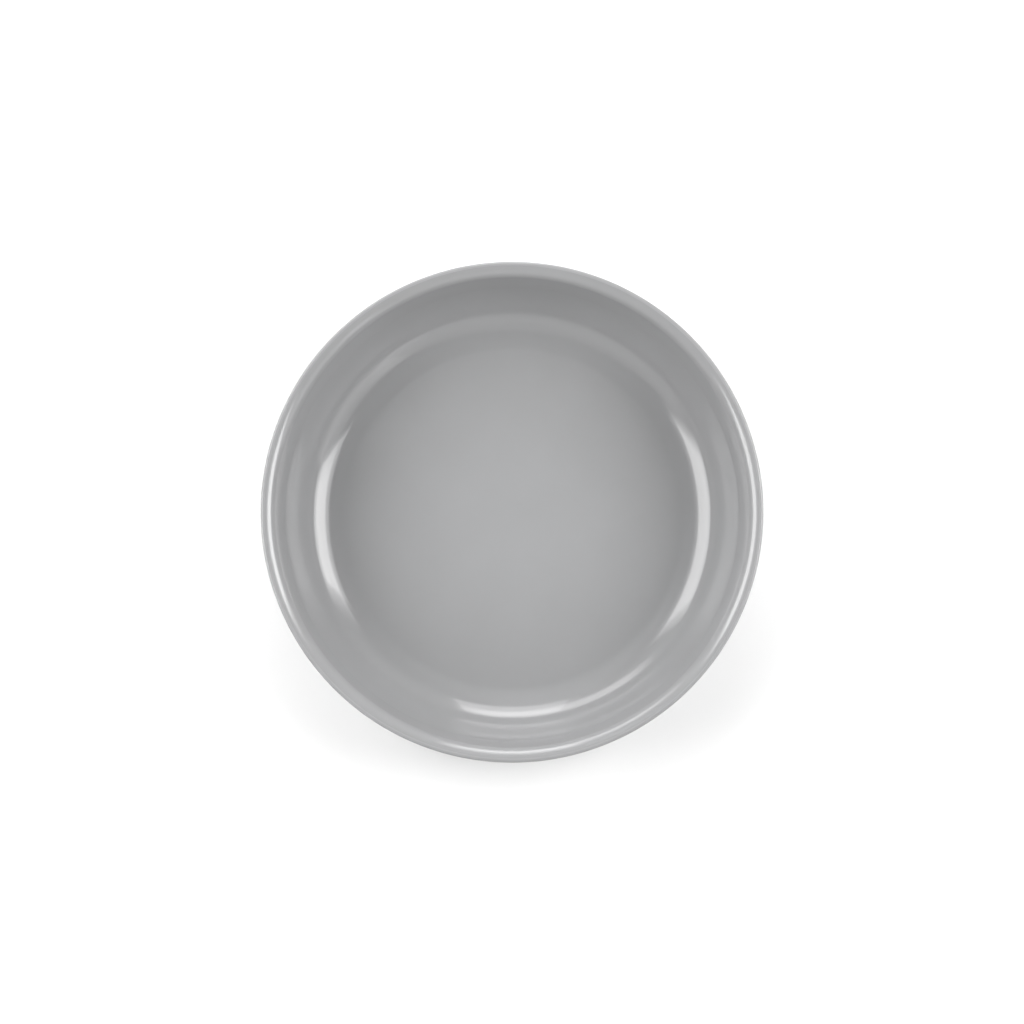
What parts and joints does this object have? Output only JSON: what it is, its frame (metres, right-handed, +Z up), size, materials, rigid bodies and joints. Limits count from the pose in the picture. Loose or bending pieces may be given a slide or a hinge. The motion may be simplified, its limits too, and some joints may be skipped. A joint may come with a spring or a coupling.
{
  "type": "serving dish",
  "caption": "Round one-piece serving dish with a flat floor, coved wall, crowned rim and foot ring, for holding dips, snacks or food.",
  "frame": {"origin": "centre of the foot ring's resting plane", "axes": "+Z up through the mouth along the axis of revolution; X and Y are alike"},
  "size_m": [0.2, 0.2, 0.0395],
  "materials": {
    "melamine": "glossy"
  },
  "bodies": {
    "root": {"dish": "melamine"}
  },
  "joints": []
}
